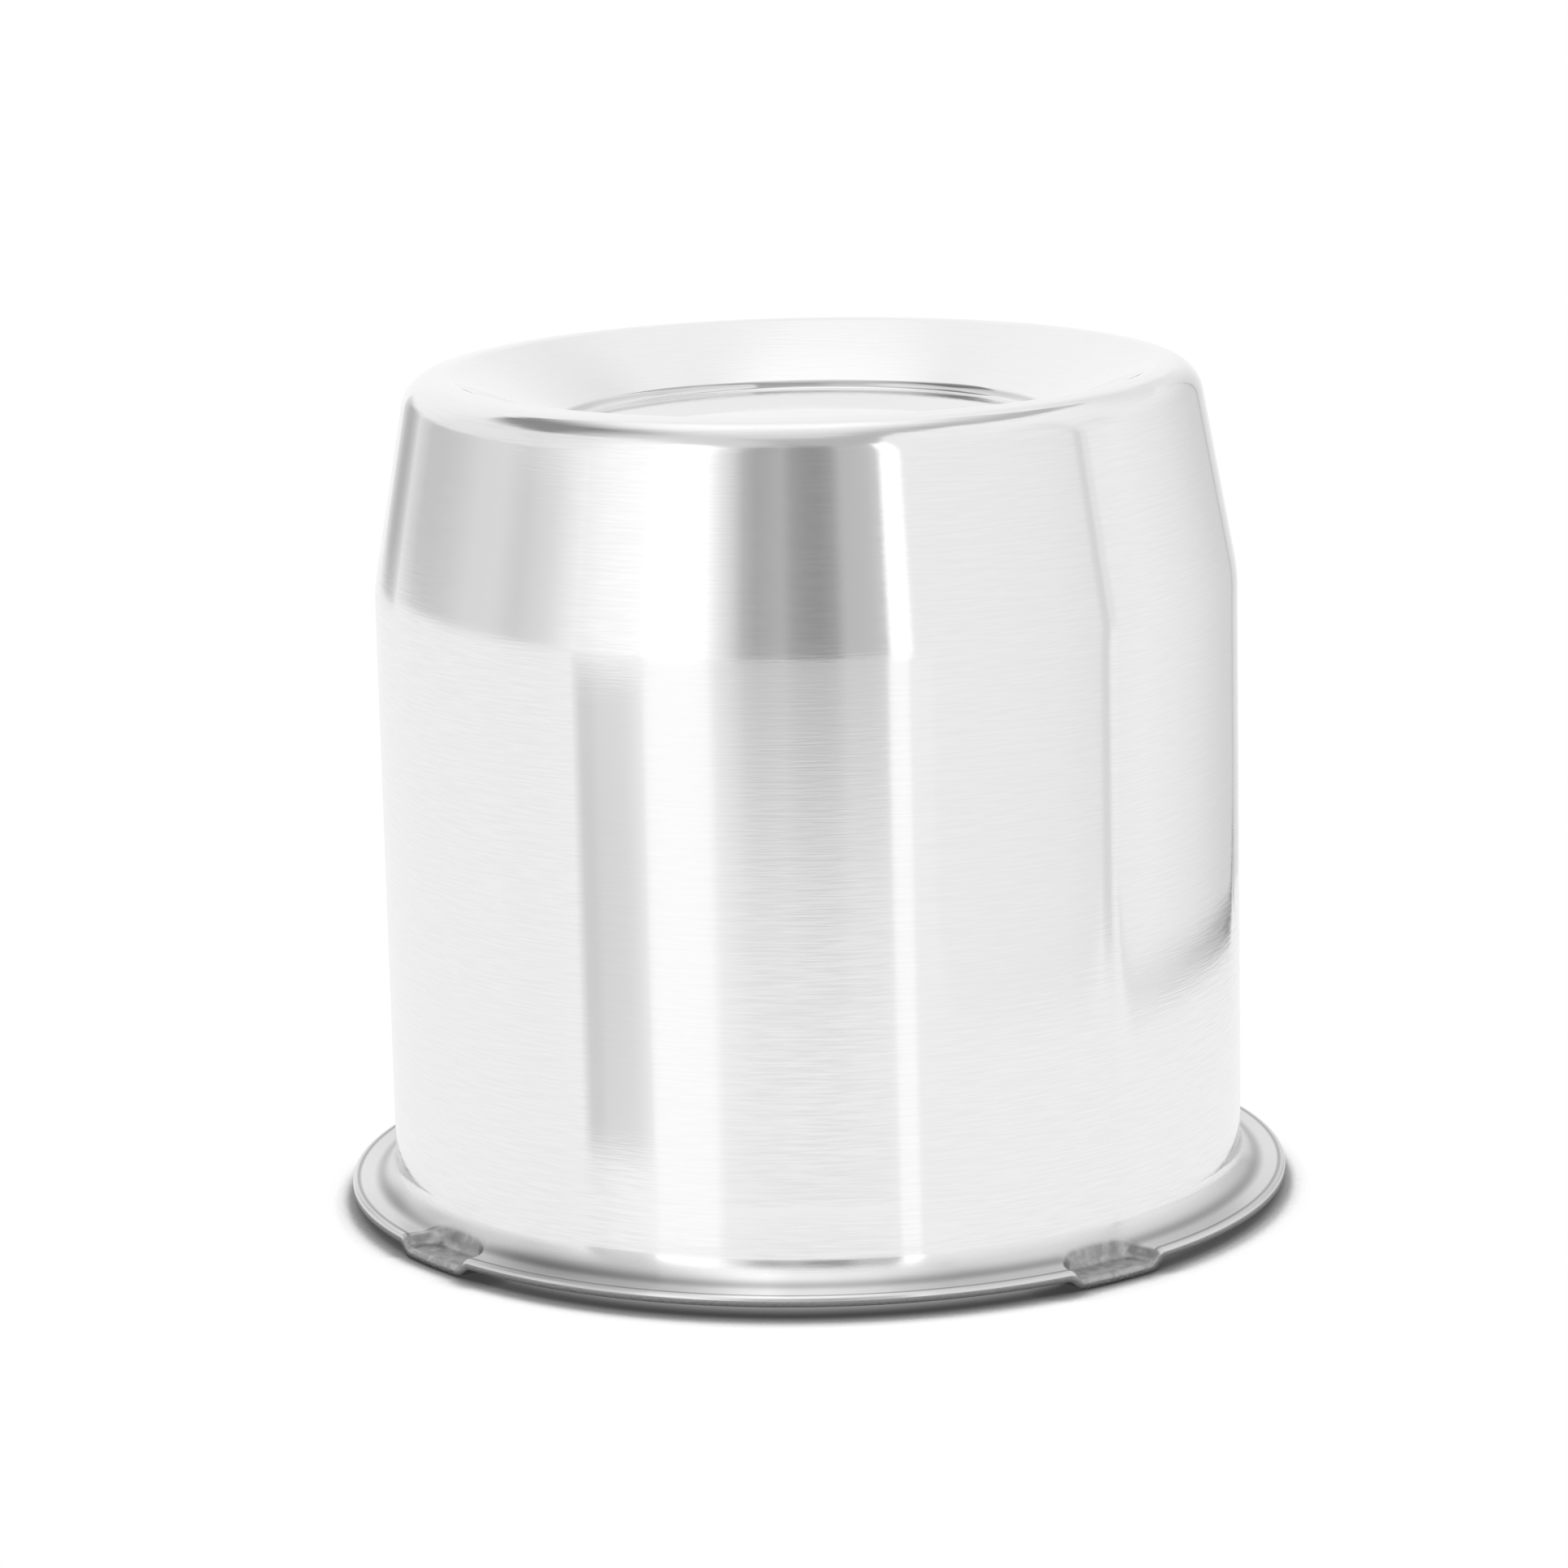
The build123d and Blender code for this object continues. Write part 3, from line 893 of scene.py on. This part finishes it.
def standCard(name, card, material, columns=240, rows=48):
    # a point at share a across and b up: on the cylinder at that bearing, and above the lower edge by b of
    # the card's height, where the lower edge rises in a quarter circle at each corner
    across, up = np.meshgrid(np.linspace(0, 1, columns + 1), np.linspace(0, 1, rows + 1) ** 2)
    left, right = np.radians(card["bearings"])
    bearing = left + (right - left) * across
    corner = card.get("corner", 0.0)
    fromSide = (right - left) * card["radius"] * np.minimum(across, 1 - across)
    into = np.maximum(corner - fromSide, 0)
    lowerEdge = card.get("bottom", 0.0) + corner - np.sqrt(corner**2 - into**2)
    height = lowerEdge + (card["top"] - lowerEdge) * up
    points = np.stack([card["radius"] * np.sin(bearing), -card["radius"] * np.cos(bearing), height], axis=-1)
    glow = levelsAcross(across, card["glow"])
    if "fadeFrom" in card:
        # towards its top it gets as bright as the tent behind it
        behind = wallGlow(np.degrees(bearing))
        glow = glow + (behind - glow) * softStep(height, card["fadeFrom"], card["top"])
    if "rise" in card:
        # and at its bottom as bright as the floor
        glow = glow + (studio["floorInMetal"] - glow) * (1 - softStep(height - lowerEdge, 0.0, card["rise"]))
    # a strip along the foot at its own levels: painted shadow where the card meets the floor
    if "foot" in card:
        glow = np.where(height - lowerEdge < card["foot"], levelsAcross(across, card["footGlow"]), glow)
    addCard(name, points, glow, material)


def layFloorFade(material, columns=180, rows=80, aboveFloor=0.0005):
    # the point that the wall mirrors at bearing b and distance t: out from the wall's point at half that
    # bearing, along b; it darkens along a smooth step with distance, and across it follows the gap and the
    # lamps above
    bearing, out = np.meshgrid(
        np.linspace(*floorFade["bearings"], columns + 1), np.linspace(*floorFade["reach"], rows + 1)
    )
    b = np.radians(bearing)
    x = cap["barrelRadius"] * mm * np.sin(b / 2) + out * np.sin(b)
    y = -cap["barrelRadius"] * mm * np.cos(b / 2) - out * np.cos(b)
    level = floorFade["near"] + (floorFade["far"] - floorFade["near"]) * softStep(out, *floorFade["fades"])
    above = wallGlow(bearing)
    gap = tentWalls["frontGap"]["glow"]
    across = np.clip((above - min(gap)) / (max(gap) - min(gap)), 0, 1)
    level = level + (floorFade["open"] - level) * across
    level = level + (floorFade["lit"] - floorFade["open"]) * softStep(above, *floorFade["litFrom"])
    addCard("floorFade", np.stack([x, y, np.full(x.shape, aboveFloor)], axis=-1), level, material)


def hangFlangeLight(material, columns=88, rows=8):
    # part of a flat ring: a point at bearing b and radius r
    bearing, radius = np.meshgrid(
        np.linspace(*flangeLight["bearings"], columns + 1), np.linspace(*flangeLight["radii"], rows + 1)
    )
    b = np.radians(bearing)
    height = np.full(b.shape, flangeLight["height"])
    points = np.stack([radius * np.sin(b), -radius * np.cos(b), height], axis=-1)
    across = np.broadcast_to(np.linspace(0, 1, columns + 1), b.shape)
    addCard("flangeLight", points, levelsAcross(across, flangeLight["glow"]), material)


def buildStudio():
    reach = studio["floorReach"]
    corners = np.array([[-reach, -reach, 0], [reach, -reach, 0], [reach, reach, 0], [-reach, reach, 0]])
    addStagePiece("floor", corners, [[0, 1, 2, 3]], whiteFloor())
    glow = cardGlow("cardGlow", oneSided=False)
    pitchTent(glow)
    for name, card in standingCards.items():
        standCard(name, card, glow)
    layFloorFade(glow)
    hangFlangeLight(cardGlow("cardGlowBelow", oneSided=True))
    print("studio built: a tent of", len(tentWalls), "screens and lamps, and", len(standingCards), "cards")


placeCamera()
lightWorld()
buildStudio()

bpy.context.scene.view_settings.view_transform = "Standard"
